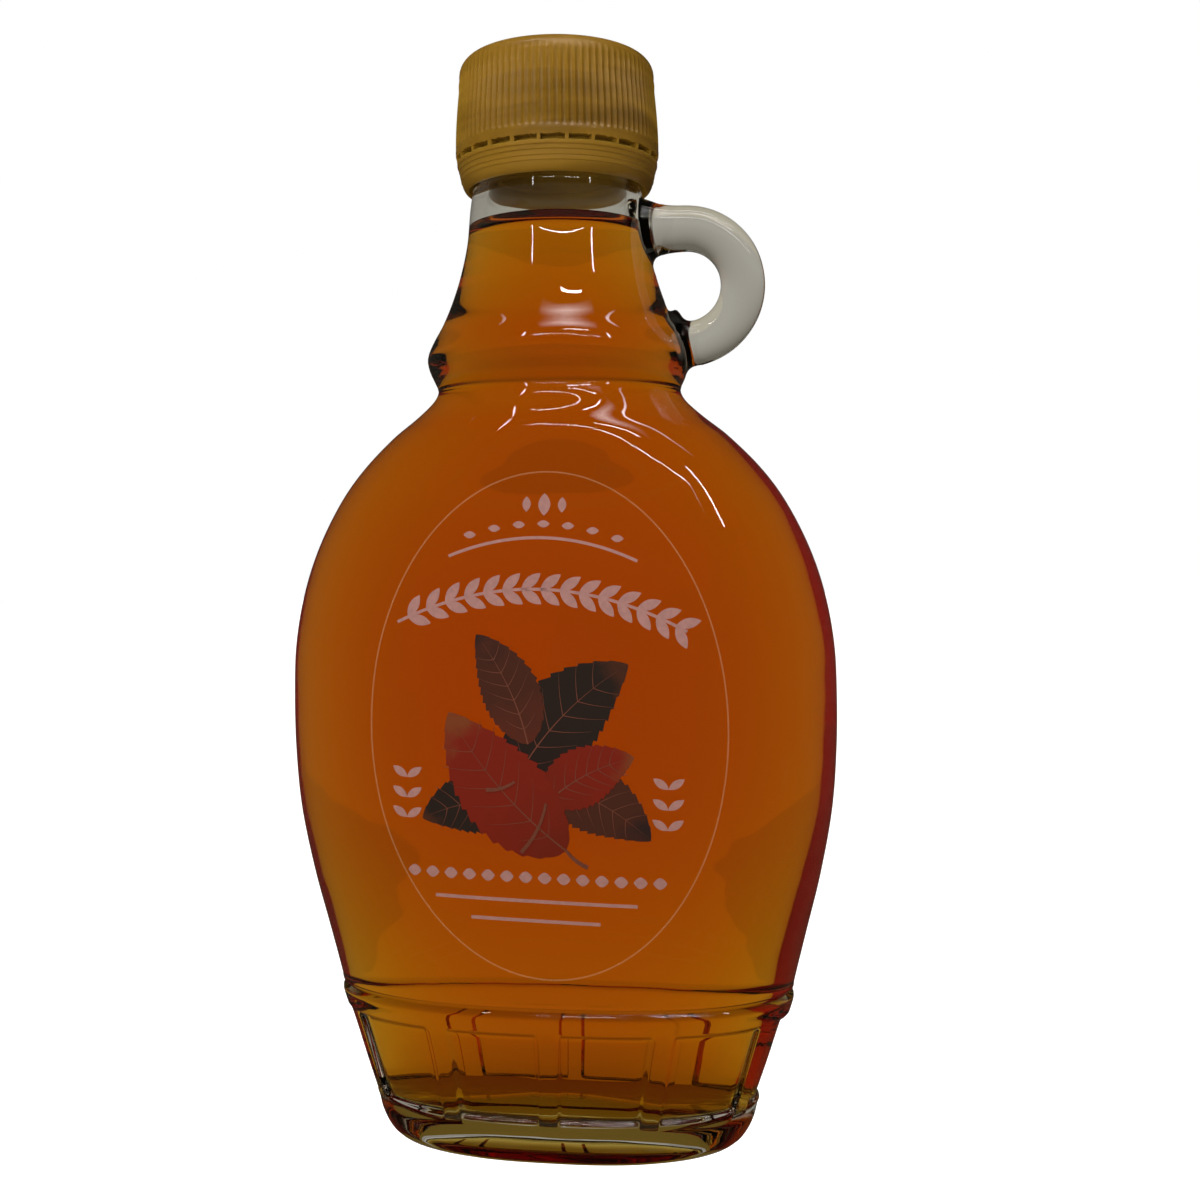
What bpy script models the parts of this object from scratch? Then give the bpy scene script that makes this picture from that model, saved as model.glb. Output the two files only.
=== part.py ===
"""A flat glass jug of maple syrup with a small ring handle and a ribbed screw cap, in metres, +Z up.

The jug stands on z = 0 with its axis on the origin, its broad front towards -Y and its handle on +X.
Three solids: the glass with its fused handle, the syrup up to its level, and the cap, whose
tamper band hangs on small bridges of the same moulding.
"""

import math

import bmesh
import bpy
from mathutils import Vector

# The jug's outline from foot to neck: height, half width along X, half depth along Y.
FOOT = [
    (0.0000, 0.0262, 0.0139),
    (0.0004, 0.0276, 0.0147),
    (0.0016, 0.0288, 0.0153),
    (0.0038, 0.0299, 0.0157),
    (0.0058, 0.0304, 0.0158),
]
FLUTED = [
    (0.0078, 0.0312, 0.0159),
    (0.0130, 0.0330, 0.0160),
    (0.0186, 0.0348, 0.0163),
]
LEDGE = [
    (0.0206, 0.0355, 0.0165),
    (0.0222, 0.0360, 0.0168),
    (0.0232, 0.0361, 0.0169),
    (0.0238, 0.0355, 0.0164),
    (0.0244, 0.0361, 0.0169),
]
BODY = [
    (0.0252, 0.0362, 0.0171),
    (0.0330, 0.0381, 0.0184),
    (0.0420, 0.0403, 0.0199),
    (0.0520, 0.0421, 0.0214),
    (0.0610, 0.0428, 0.0220),
    (0.0700, 0.0429, 0.0221),
    (0.0780, 0.0425, 0.0221),
    (0.0860, 0.0410, 0.0216),
    (0.0930, 0.0386, 0.0210),
    (0.1000, 0.0350, 0.0201),
    (0.1050, 0.0313, 0.0198),
    (0.1100, 0.0263, 0.0193),
    (0.1130, 0.0225, 0.0185),
    (0.1155, 0.0198, 0.0181),
    (0.1172, 0.0190, 0.0176),
    (0.1186, 0.0195, 0.0180),
    (0.1204, 0.0203, 0.0190),
    (0.1223, 0.0206, 0.0194),
    (0.1244, 0.0198, 0.0190),
    (0.1275, 0.0181, 0.0176),
    (0.1310, 0.0166, 0.0164),
    (0.1350, 0.0153, 0.0153),
    (0.1400, 0.0142, 0.0142),
    (0.1450, 0.0137, 0.0137),
    (0.1480, 0.0133, 0.0133),
]
# How square the cross-section is along X at a height: an exponent, 2 is an oval, more is flatter.
SQUARENESS = [
    (0.0000, 2.6),
    (0.0244, 2.7),
    (0.0520, 3.4),
    (0.0700, 3.6),
    (0.0930, 3.5),
    (0.1050, 3.0),
    (0.1155, 2.1),
    (0.1223, 2.0),
    (0.1480, 2.0),
]
GLASS_WALL = 0.0025
FLOOR_HEIGHT = 0.0054
FLOOR_CORNER = 0.0040
FLOOR_DOME = 0.0022  # how far the middle of the floor rises
DOME_SHARES = (0.25, 0.50, 0.75)  # of the floor's width
MOUTH_HEIGHT = 0.1660
MOUTH_RADIUS = 0.0107
FINISH_RADIUS = 0.0131
FINISH_STEP = 0.0004  # height over which the neck turns into the straight mouth
THROAT_STEP = 0.0015  # height over which the inside turns into the bore of the mouth
RESTING_WIDTH = 0.0045  # the flat ring that the jug stands on
PUSH_UP = 0.0012

# Ten sunk panels round the foot, with a rib at the middle of the front.
PANELS = 10
PANEL_BOTTOM = 0.0065
PANEL_TOP = 0.0205
PANEL_SINK = 0.0009
PANEL_BEVEL = 0.0006
RIB_SHARE = 0.16  # of a panel's pitch
BEVEL_SHARE = 0.05

# The ring handle, a closed loop with the neck.
HANDLE_X = 0.0199
HANDLE_Z = 0.1330
HANDLE_RADIUS = 0.0089
HANDLE_HALF_BAND = 0.0034
HANDLE_HALF_DEPTH = 0.0032
HANDLE_LOWER_ANGLE = math.radians(-115)
HANDLE_ROOT_X = 0.0118
HANDLE_NECK_X = 0.0146  # where the upper end leaves the neck
HANDLE_FLARE = 1.45  # how much thicker it is where it leaves the neck
HANDLE_LOWER_FLARES = (1.08, 1.22, 1.42, 1.65)  # and over its last rings, into the collar
HANDLE_SQUARENESS = 0.8  # below 1 the section is squarer than an oval
HANDLE_SIDES = 14
HANDLE_STEPS = 16

# Syrup
SYRUP_LEVEL = 0.1414
CLEARANCE = 0.0003

# Cap
CAP_TOP = 0.1684
CAP_TOP_RADIUS = 0.0126
CAP_SHOULDER = 0.1658
CAP_SHOULDER_RADIUS = 0.01515
KNURL_TOP = 0.1652
KNURL_BOTTOM = 0.1546
CAP_RADIUS = 0.0158
KNURLS = 90
KNURL_DEPTH = 0.00032
KNURL_END = 0.0003
PLAIN_COLUMNS = 60  # round the cap's plain parts: a third of the ribbed part's columns
TOP_EDGE_STEPS = 4
SLOT_TOP = 0.1533
SLOT_BOTTOM = 0.1524
SLOTS = 24
BRIDGE_WIDTH = 0.0005
BAND_RADIUS = 0.0156
BAND_STEPS = [  # height and radius of the steps round the band, from the top down
    (0.1518, 0.01545),
    (0.1515, 0.01525),
    (0.1504, 0.01515),
    (0.1501, 0.01500),
    (0.1488, 0.01490),
]
BAND_BOTTOM = 0.1482
BAND_BOTTOM_RADIUS = 0.0148
BAND_EDGE = 0.0003
CAP_BORE = 0.0139
CAP_ROOF = 0.0016

COLUMNS_PER_PANEL = 6
INNER_COLUMNS = 36
TOP_GAP = 0.001  # least height between the last two rings of the inside
OVERSHOOT = 0.001  # how far a cutter reaches past what it cuts
BORE_COLUMNS = 36

GLASS_COLOUR = (0.80, 0.84, 0.80, 1.0)
SYRUP_COLOUR = (0.36, 0.10, 0.01, 1.0)
CAP_COLOUR = (0.36, 0.21, 0.06, 1.0)


def clear_scene():
    for old in list(bpy.data.objects):
        bpy.data.objects.remove(old, do_unlink=True)


def make_material(name, colour, roughness, metallic=0.0, transmission=0.0):
    material = bpy.data.materials.new(name)
    material.use_nodes = True
    shader = material.node_tree.nodes["Principled BSDF"]
    shader.inputs["Base Color"].default_value = colour
    shader.inputs["Roughness"].default_value = roughness
    shader.inputs["Metallic"].default_value = metallic
    shader.inputs["Transmission Weight"].default_value = transmission
    return material


def add_object(name, mesh, material=None):
    made = bpy.data.objects.new(name, mesh)
    bpy.context.scene.collection.objects.link(made)
    if material:
        mesh.materials.append(material)
    return made


def smooth_steps(low, high, steps):
    return [low + (high - low) * step / steps for step in range(steps + 1)]


def along(table, height, column):
    """A smooth curve through one column of a table, read at a height."""
    heights = [row[0] for row in table]
    values = [row[column] for row in table]
    height = min(max(height, heights[0]), heights[-1])
    index = max(i for i in range(len(heights) - 1) if heights[i] <= height)

    def slope(i):
        before, after = max(i - 1, 0), min(i + 1, len(heights) - 1)
        return (values[after] - values[before]) / (heights[after] - heights[before])

    span = heights[index + 1] - heights[index]
    t = (height - heights[index]) / span
    return (
        values[index] * (1 + 2 * t) * (1 - t) ** 2
        + span * slope(index) * t * (1 - t) ** 2
        + values[index + 1] * t * t * (3 - 2 * t)
        - span * slope(index + 1) * t * t * (1 - t)
    )


def signed_power(value, power):
    return math.copysign(abs(value) ** power, value)


def oval_point(half_width, half_depth, height, turn):
    """A point of a flat-sided oval; turn 0 is the middle of the front, growing towards +X."""
    side = signed_power(math.sin(turn), 2 / along(SQUARENESS, height, 1))
    return Vector((side * half_width, -math.cos(turn) * half_depth, height))


def even_turns(half_width, half_depth, height, shares):
    """Turns that lie at the given shares of the way round an oval."""
    fine = 1440
    ring = [oval_point(half_width, half_depth, height, 2 * math.pi * i / fine) for i in range(fine + 1)]
    way = [0.0]
    for start, end in zip(ring, ring[1:]):
        way.append(way[-1] + (end - start).length)
    turns = []
    index = 0
    for share in shares:
        while way[index + 1] < share * way[-1]:
            index += 1
        part = (share * way[-1] - way[index]) / (way[index + 1] - way[index])
        turns.append(2 * math.pi * (index + part) / fine)
    return turns


def loft(name, rings, material=None):
    """A closed solid through rings, listed from the bottom up and filled at both ends.

    A ring has as many points as the next one, or a whole multiple or share of them.
    """
    mesh = bpy.data.meshes.new(name)
    maker = bmesh.new()
    rows = [[maker.verts.new(point) for point in ring] for ring in rings]
    for lower, upper in zip(rows, rows[1:]):
        count = min(len(lower), len(upper))
        low_step, high_step = len(lower) // count, len(upper) // count
        for i in range(count):
            below = [lower[(i * low_step + k) % len(lower)] for k in range(low_step + 1)]
            above = [upper[(i * high_step + k) % len(upper)] for k in range(high_step + 1)]
            maker.faces.new(below + above[::-1])
    maker.faces.new(reversed(rows[0]))
    maker.faces.new(rows[-1])
    bmesh.ops.triangulate(maker, faces=[face for face in maker.faces if len(face.verts) > 4])
    bmesh.ops.recalc_face_normals(maker, faces=maker.faces)
    maker.to_mesh(mesh)
    maker.free()
    return add_object(name, mesh, material)


def combine(target, tool, operation):
    """Applies a Boolean of tool to target and removes the tool."""
    modifier = target.modifiers.new("combine", "BOOLEAN")
    modifier.object = tool
    modifier.operation = operation
    bpy.context.view_layer.update()
    graph = bpy.context.evaluated_depsgraph_get()
    result = bpy.data.meshes.new_from_object(target.evaluated_get(graph))
    target.modifiers.remove(modifier)
    target.data = result
    bpy.data.objects.remove(tool, do_unlink=True)


def shade(made, degrees=35):
    made.data.shade_smooth()
    made.data.set_sharp_from_angle(angle=math.radians(degrees))


def panel_shares():
    """Where the columns stand round the jug: rib edges, panel edges and two inside each panel."""
    half_rib = RIB_SHARE / 2
    edge = half_rib + BEVEL_SHARE
    third = (1 - 2 * edge) / 3
    within = [half_rib, edge, edge + third, 1 - edge - third, 1 - edge, 1 - half_rib]
    return [(panel + share) / PANELS for panel in range(PANELS) for share in within]


def panel_depth(column, height):
    """How far a column is sunk below the ribs at a height."""
    place = column % COLUMNS_PER_PANEL
    if place in (0, COLUMNS_PER_PANEL - 1):
        return 0.0
    from_edge = min(height - PANEL_BOTTOM, PANEL_TOP - height)
    return PANEL_SINK * min(max(from_edge / PANEL_BEVEL, 0), 1)


def sunk(point, half_width, half_depth, depth):
    """The point moved inwards by a depth, square to the oval."""
    normal = Vector((point.x / half_width ** 2, point.y / half_depth ** 2, 0)).normalized()
    return point - normal * depth


def outer_rows():
    """Height, half width and half depth of each ring of the outside, from the foot up."""
    table = FOOT + FLUTED + LEDGE + BODY
    heights = [row[0] for row in FOOT]
    heights += [PANEL_BOTTOM, PANEL_BOTTOM + PANEL_BEVEL] + [row[0] for row in FLUTED[1:]]
    heights += [PANEL_TOP - PANEL_BEVEL, PANEL_TOP] + [row[0] for row in LEDGE]
    heights += [row[0] for row in BODY]
    return [(z, along(table, z, 1), along(table, z, 2)) for z in sorted(set(heights))]


def glass_blank(turns):
    """The outside of the jug as a full solid, up to the mouth."""
    rows = outer_rows()
    rings = []
    for height, half_width, half_depth in rows:
        ring = []
        for column, turn in enumerate(turns):
            point = oval_point(half_width, half_depth, height, turn)
            ring.append(sunk(point, half_width, half_depth, panel_depth(column, height)))
        rings.append(ring)
    for height in (rows[-1][0] + FINISH_STEP, MOUTH_HEIGHT):
        rings.append([oval_point(FINISH_RADIUS, FINISH_RADIUS, height, turn) for turn in turns])
    return loft("glass", rings)


def inner_rows(inset, top):
    """Rings of the inside: the outside moved in by the wall and the inset, with a rounded floor."""
    smooth_outside = FOOT + FLUTED + LEDGE[:3] + BODY
    floor = FLOOR_HEIGHT + inset
    rows = []
    for height in inner_heights(floor, top):
        half_width = along(smooth_outside, height, 1) - GLASS_WALL - inset
        half_depth = along(smooth_outside, height, 2) - GLASS_WALL - inset
        rise = height - floor
        corner = 0.0
        if rise < FLOOR_CORNER:
            corner = FLOOR_CORNER - math.sqrt(FLOOR_CORNER ** 2 - (FLOOR_CORNER - rise) ** 2)
        rows.append((height, half_width - corner, half_depth - corner))
    return rows


def inner_heights(floor, top):
    """Heights of the inside's rings: close at the floor's corner, then every second outer one."""
    corner = [floor + FLOOR_CORNER * share for share in (0, 0.04, 0.15, 0.35, 0.65)]
    middle = [row[0] for row in BODY[1::2] if row[0] < top - TOP_GAP]
    return corner + [FLUTED[1][0]] + middle + [top]


def inside_turns():
    """Turns of the inside's columns, evenly spaced round the widest part of the body."""
    height, half_width, half_depth = max(BODY, key=lambda row: row[1])
    shares = [(i + 0.5) / INNER_COLUMNS for i in range(INNER_COLUMNS)]
    return even_turns(half_width, half_depth, height, shares)


def inside_rings(inset, top):
    """The rings of the inside, from the middle of its domed floor outwards and then up."""
    rows = inner_rows(inset, top)
    floor, half_width, half_depth = rows[0]
    dome = []
    for share in DOME_SHARES:
        rise = FLOOR_DOME * (0.5 + 0.5 * math.cos(math.pi * share))
        dome.append((floor + rise, half_width * share, half_depth * share))
    return [[oval_point(w, d, h, turn) for turn in inside_turns()] for h, w, d in dome + rows]


def cavity():
    """The inside of the jug and its round mouth, as one cutter."""
    rings = inside_rings(0.0, BODY[-1][0])
    for height in (BODY[-1][0] + THROAT_STEP, MOUTH_HEIGHT + OVERSHOOT):
        rings.append([oval_point(MOUTH_RADIUS, MOUTH_RADIUS, height, turn) for turn in inside_turns()])
    return loft("cavity", rings)


def push_up():
    """The shallow hollow under the foot, inside the resting ring."""
    half_width, half_depth = FOOT[0][1] - RESTING_WIDTH, FOOT[0][2] - RESTING_WIDTH
    shares = [i / INNER_COLUMNS for i in range(INNER_COLUMNS)]
    turns = even_turns(half_width, half_depth, 0, shares)
    rings = []
    for height, inset in ((-OVERSHOOT, 0), (0, 0), (PUSH_UP, PUSH_UP)):
        width, depth = half_width - inset, half_depth - inset
        rings.append([oval_point(width, depth, height, turn) for turn in turns])
    return loft("push_up", rings)


def handle():
    """A tube of rounded section: straight out of the neck, then round and back into the collar."""
    top = HANDLE_Z + HANDLE_RADIUS
    path = [(x, top) for x in (HANDLE_ROOT_X, HANDLE_NECK_X, (HANDLE_NECK_X + HANDLE_X) / 2)]
    for angle in smooth_steps(math.pi / 2, HANDLE_LOWER_ANGLE, HANDLE_STEPS):
        reach, rise = HANDLE_RADIUS * math.cos(angle), HANDLE_RADIUS * math.sin(angle)
        path.append((HANDLE_X + reach, HANDLE_Z + rise))
    plain = [1.0] * (len(path) - 1 - len(HANDLE_LOWER_FLARES))
    flares = [HANDLE_FLARE] + plain + list(HANDLE_LOWER_FLARES)
    rings = []
    for index, (x, z) in enumerate(path):
        before, after = path[max(index - 1, 0)], path[min(index + 1, len(path) - 1)]
        forward = Vector((after[0] - before[0], 0, after[1] - before[1])).normalized()
        across = Vector((forward.z, 0, -forward.x))
        flare = flares[index]
        ring = []
        for side in range(HANDLE_SIDES):
            angle = 2 * math.pi * (side + 0.5) / HANDLE_SIDES
            band = signed_power(math.cos(angle), HANDLE_SQUARENESS) * HANDLE_HALF_BAND
            depth = signed_power(math.sin(angle), HANDLE_SQUARENESS) * HANDLE_HALF_DEPTH
            ring.append(Vector((x, 0, z)) + across * band * flare + Vector((0, depth * flare, 0)))
        rings.append(ring)
    return loft("handle", rings)


def make_glass():
    middle = FLUTED[1]
    turns = even_turns(middle[1], middle[2], middle[0], panel_shares())
    glass = glass_blank(turns)
    combine(glass, handle(), "UNION")
    combine(glass, cavity(), "DIFFERENCE")
    combine(glass, push_up(), "DIFFERENCE")
    glass.data.materials.clear()
    glass.data.materials.append(make_material("clear glass", GLASS_COLOUR, 0.03, transmission=1.0))
    shade(glass)


def make_syrup():
    material = make_material("syrup", SYRUP_COLOUR, 0.05, transmission=1.0)
    shade(loft("syrup", inside_rings(CLEARANCE, SYRUP_LEVEL), material))


def cap_ring(radius, height, sunk_by=0.0, count=PLAIN_COLUMNS):
    """A ring of the cap; every second column is sunk where the cap is ribbed."""
    ring = []
    for i in range(count):
        reach = radius - (sunk_by if i % 2 else 0.0)
        angle = 2 * math.pi * i / count
        ring.append(Vector((math.sin(angle) * reach, -math.cos(angle) * reach, height)))
    return ring


def slot_cutter():
    """A ring with gaps: it cuts the slot and leaves the bridges."""
    pitch = 2 * math.pi / SLOTS
    half_bridge = BRIDGE_WIDTH / CAP_RADIUS / 2
    inner, outer = CAP_BORE - OVERSHOOT, CAP_RADIUS + OVERSHOOT
    corners = [(inner, SLOT_BOTTOM), (outer, SLOT_BOTTOM), (outer, SLOT_TOP), (inner, SLOT_TOP)]
    mesh = bpy.data.meshes.new("slots")
    maker = bmesh.new()
    for slot in range(SLOTS):
        turns = smooth_steps(slot * pitch + half_bridge, (slot + 1) * pitch - half_bridge, 3)
        rows = []
        for turn in turns:
            side, front = math.sin(turn), -math.cos(turn)
            rows.append([maker.verts.new((side * r, front * r, z)) for r, z in corners])
        for near, far in zip(rows, rows[1:]):
            for i in range(4):
                j = (i + 1) % 4
                maker.faces.new((near[i], near[j], far[j], far[i]))
        maker.faces.new(reversed(rows[0]))
        maker.faces.new(rows[-1])
    bmesh.ops.recalc_face_normals(maker, faces=maker.faces)
    maker.to_mesh(mesh)
    maker.free()
    return add_object("slots", mesh)


def make_cap():
    rings = [
        cap_ring(BAND_BOTTOM_RADIUS - BAND_EDGE, BAND_BOTTOM),
        cap_ring(BAND_BOTTOM_RADIUS, BAND_BOTTOM + BAND_EDGE),
    ]
    rings += [cap_ring(radius, height) for height, radius in reversed(BAND_STEPS)]
    rings += [
        cap_ring(BAND_RADIUS, SLOT_BOTTOM),
        cap_ring(CAP_RADIUS, SLOT_TOP),
        cap_ring(CAP_RADIUS, KNURL_BOTTOM, count=2 * KNURLS),
        cap_ring(CAP_RADIUS, KNURL_BOTTOM + KNURL_END, KNURL_DEPTH, 2 * KNURLS),
        cap_ring(CAP_SHOULDER_RADIUS, KNURL_TOP - KNURL_END, KNURL_DEPTH, 2 * KNURLS),
        cap_ring(CAP_SHOULDER_RADIUS, KNURL_TOP, count=2 * KNURLS),
    ]
    rise, reach = CAP_TOP - CAP_SHOULDER, CAP_SHOULDER_RADIUS - CAP_TOP_RADIUS
    for turn in smooth_steps(0, math.pi / 2, TOP_EDGE_STEPS)[1:]:
        rings.append(cap_ring(
            CAP_TOP_RADIUS + reach * math.cos(turn), CAP_SHOULDER + rise * math.sin(turn)
        ))
    cap = loft("cap", rings)
    bore = loft("bore", [bore_ring(BAND_BOTTOM - OVERSHOOT), bore_ring(CAP_TOP - CAP_ROOF)])
    combine(cap, bore, "DIFFERENCE")
    combine(cap, slot_cutter(), "DIFFERENCE")
    cap.data.materials.clear()
    cap.data.materials.append(make_material("gold plastic", CAP_COLOUR, 0.35, metallic=0.3))
    shade(cap)


def bore_ring(height):
    turns = [2 * math.pi * i / BORE_COLUMNS for i in range(BORE_COLUMNS)]
    return [Vector((math.sin(turn) * CAP_BORE, -math.cos(turn) * CAP_BORE, height)) for turn in turns]


def main():
    clear_scene()
    make_glass()
    make_syrup()
    make_cap()


main()
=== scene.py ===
"""The looks of a small glass jug of maple syrup with a ring handle and a gold ribbed cap.

The glass, the syrup and the cap are made again here with fine meshes on the same named sizes as the
solids, and stand for them. The print on the front is a plain ornament of leaves and pale lines.
"""

import math
import random

import bmesh
import bpy
from mathutils import Matrix, Vector


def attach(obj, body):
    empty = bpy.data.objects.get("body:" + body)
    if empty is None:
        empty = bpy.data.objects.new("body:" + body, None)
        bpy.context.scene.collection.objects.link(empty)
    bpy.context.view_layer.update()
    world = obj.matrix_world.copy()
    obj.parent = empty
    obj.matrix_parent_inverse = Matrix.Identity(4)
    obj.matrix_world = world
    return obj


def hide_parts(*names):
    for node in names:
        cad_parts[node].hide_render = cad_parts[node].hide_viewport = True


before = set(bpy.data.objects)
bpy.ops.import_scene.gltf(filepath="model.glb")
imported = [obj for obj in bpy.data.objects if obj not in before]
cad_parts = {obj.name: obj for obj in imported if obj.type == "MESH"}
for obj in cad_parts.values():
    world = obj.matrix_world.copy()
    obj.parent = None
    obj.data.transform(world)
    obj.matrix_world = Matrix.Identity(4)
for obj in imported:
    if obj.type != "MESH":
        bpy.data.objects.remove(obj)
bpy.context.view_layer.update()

# The jug's outline from foot to neck: height, half width along X, half depth along Y.
FOOT = [
    (0.0000, 0.0262, 0.0139),
    (0.0004, 0.0276, 0.0147),
    (0.0016, 0.0288, 0.0153),
    (0.0038, 0.0299, 0.0157),
    (0.0058, 0.0304, 0.0158),
]
FLUTED = [
    (0.0078, 0.0312, 0.0159),
    (0.0130, 0.0330, 0.0160),
    (0.0186, 0.0348, 0.0163),
]
LEDGE = [
    (0.0206, 0.0355, 0.0165),
    (0.0222, 0.0360, 0.0168),
    (0.0232, 0.0361, 0.0169),
    (0.0238, 0.0355, 0.0164),
    (0.0244, 0.0361, 0.0169),
]
BODY = [
    (0.0252, 0.0362, 0.0171),
    (0.0330, 0.0381, 0.0184),
    (0.0420, 0.0403, 0.0199),
    (0.0520, 0.0421, 0.0214),
    (0.0610, 0.0428, 0.0220),
    (0.0700, 0.0429, 0.0221),
    (0.0780, 0.0425, 0.0221),
    (0.0860, 0.0410, 0.0216),
    (0.0930, 0.0386, 0.0210),
    (0.1000, 0.0350, 0.0201),
    (0.1050, 0.0313, 0.0198),
    (0.1100, 0.0263, 0.0193),
    (0.1130, 0.0225, 0.0185),
    (0.1155, 0.0198, 0.0181),
    (0.1172, 0.0190, 0.0176),
    (0.1186, 0.0195, 0.0180),
    (0.1204, 0.0203, 0.0190),
    (0.1223, 0.0206, 0.0194),
    (0.1244, 0.0198, 0.0190),
    (0.1275, 0.0181, 0.0176),
    (0.1310, 0.0166, 0.0164),
    (0.1350, 0.0153, 0.0153),
    (0.1400, 0.0142, 0.0142),
    (0.1450, 0.0137, 0.0137),
    (0.1480, 0.0133, 0.0133),
]
# How square the cross-section is along X at a height: an exponent, 2 is an oval, more is flatter.
SQUARENESS = [
    (0.0000, 2.6),
    (0.0244, 2.7),
    (0.0520, 3.4),
    (0.0700, 3.6),
    (0.0930, 3.5),
    (0.1050, 3.0),
    (0.1155, 2.1),
    (0.1223, 2.0),
    (0.1480, 2.0),
]
GLASS_WALL = 0.0025
FLOOR_HEIGHT = 0.0054
FLOOR_CORNER = 0.0040
FLOOR_DOME = 0.0022
FLOOR_STEPS = 14
DOME_STEPS = 12
MOUTH_HEIGHT = 0.1660
MOUTH_RADIUS = 0.0107
FINISH_RADIUS = 0.0131
FINISH_START = BODY[-1][0] + 0.0004
FINISH_STEP = 0.003
FINISH_ROUNDING = 0.0008
ROUNDING_STEPS = 4
# Rings of the straight throat; the last is past the mouth, so that the cut goes through.
THROAT_HEIGHTS = (BODY[-1][0] + 0.0015, MOUTH_HEIGHT - 0.001, MOUTH_HEIGHT + 0.002)
RESTING_WIDTH = 0.0045
# Height and inset of the rings of the shallow hollow under the foot; the first is below the foot.
PUSH_UP = [(-0.001, 0), (0.0, 0), (0.0005, 0.0003), (0.0009, 0.0008), (0.0012, 0.0016)]
PUSH_UP_COLUMNS = 120

# Ten sunk panels round the foot, with a rib at the middle of the front.
PANELS = 10
PANEL_BOTTOM = 0.0065
PANEL_TOP = 0.0205
PANEL_SINK = 0.0009
PANEL_BEVEL = 0.0009
PANEL_BEVEL_STEPS = 4
RIB_SHARE = 0.16
BEVEL_SHARE = 0.05
FLAT_STEPS = 11

# The ring handle
HANDLE_X = 0.0199
HANDLE_Z = 0.1330
HANDLE_RADIUS = 0.0089
HANDLE_HALF_BAND = 0.0034
HANDLE_HALF_DEPTH = 0.0032
HANDLE_SQUARENESS = 0.8
HANDLE_LOWER_ANGLE = math.radians(-115)
HANDLE_ROOT_X = 0.0118
HANDLE_NECK_X = 0.0146
HANDLE_FLARE = 0.40
HANDLE_FLARE_LENGTH = 0.0014
HANDLE_LOWER_FLARE = 0.65
HANDLE_LOWER_FLARE_LENGTH = 0.0030
HANDLE_STEP = 0.0005
HANDLE_BENDS = 72
HANDLE_SIDES = 36

# The crease round the handle's roots, which is melted smooth
SEAM_X = 0.012
SEAM_BOTTOM = 0.120
SEAM_TOP = 0.148
SEAM_HALF_DEPTH = 0.007
SEAM_ANGLE = math.radians(20)
SEAM_REACH = 3
SEAM_PASSES = 12

# Syrup
SYRUP_LEVEL = 0.1414
INTO_WALL = 0.0004
WET_MARGIN = 0.0005
MENISCUS = 0.0015
MENISCUS_REACH = 0.0017
SURFACE_RINGS = 24
SURFACE_SPACING = 1.6

# Cap
CAP_TOP = 0.1684
CAP_SHOULDER = 0.1658
CAP_TOP_RADIUS = 0.0126
CAP_SHOULDER_RADIUS = 0.01515
CAP_EDGE_STEPS = 12
CAP_EDGE_RIBS = 0.4
CAP_EDGE_FADE = 4
# Radius and dip of the rings of the flat top, with a faint step inside its rim.
CAP_TOP_RINGS = [(0.0120, 0.0), (0.0112, 0.00012), (0.0108, 0.00012), (0.0060, 0.00012)]
KNURL_TOP = 0.1652
KNURL_BOTTOM = 0.1546
CAP_RADIUS = 0.0158
KNURLS = 90
KNURL_DEPTH = 0.00032
KNURL_COLUMNS = 8
GROOVE_BEND = 0.6
# Height above the knurls' bottom and share of their depth, where they begin.
KNURL_START = [(-0.0001, 0), (0.0001, 0.35), (0.0003, 0.85), (0.0006, 1.0)]
# Height below the knurls' top, radius past the shoulder and share of their depth, where they end.
KNURL_END = [(0.0006, 0.0001, 0.9), (0.0002, 0.0, 0.6)]
LEAN_END = KNURL_TOP - 0.0009
LEAN_STEPS = 11
LEAN_BEND = 1.6
SLOT_TOP = 0.1533
SLOT_BOTTOM = 0.1524
SLOTS = 24
SLOT_STEPS = 12
# How far the cut edges of a slot stray, and how the bridges between the slots vary in width.
SLOT_LOW_STRAY = (-0.00003, 0.00010)
SLOT_HIGH_STRAY = (-0.00014, 0.00004)
BRIDGE_WIDTH = 0.0005
BRIDGE_SPREAD = (0.35, 0.75)
BAND_BOTTOM = 0.1482
# Height and radius of the band's rings and of the plain strip above the slots.
BAND_PROFILE = [
    (0.1482, 0.01410), (0.1483, 0.01432), (0.1486, 0.01455),
    (0.1490, 0.01475), (0.1494, 0.01486), (0.1496, 0.01490),
    (0.1497, 0.01502), (0.1500, 0.01506), (0.1503, 0.01504),
    (0.1504, 0.01516), (0.1507, 0.01521), (0.1511, 0.01520),
    (0.1512, 0.01534), (0.1515, 0.01540), (0.1518, 0.01540),
    (0.1519, 0.01556), (0.1521, 0.01560), (0.1524, 0.01560),
    (0.1533, 0.01572), (0.1536, 0.01580), (0.1541, 0.01582),
]
# The folded lip behind the slots
LIP_BOTTOM = 0.1510
LIP_TOP = 0.1548
LIP_REACH = 0.0006
LIP_LOWER_SLOPE = 0.0003
LIP_UPPER_SLOPE = 0.0002
CAP_BORE = 0.0139
CAP_ROOF = 0.0016
BORE_CHAMFER = 0.001
BORE_COLUMNS = 240
CUT_MARGIN = 0.001
SLOT_INNER = CAP_BORE + 0.0001

# Fineness: the height between rows, and the columns of the inside, spaced along an oval of this
# half width, half depth and height.
ROW_STEP = 0.0007
INNER_COLUMNS = 192
INNER_SPACING = (0.040, 0.021, 0.060)
TURN_STEPS = 2880

SMOOTH_OUTSIDE = FOOT + FLUTED + LEDGE[:3] + BODY

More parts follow.
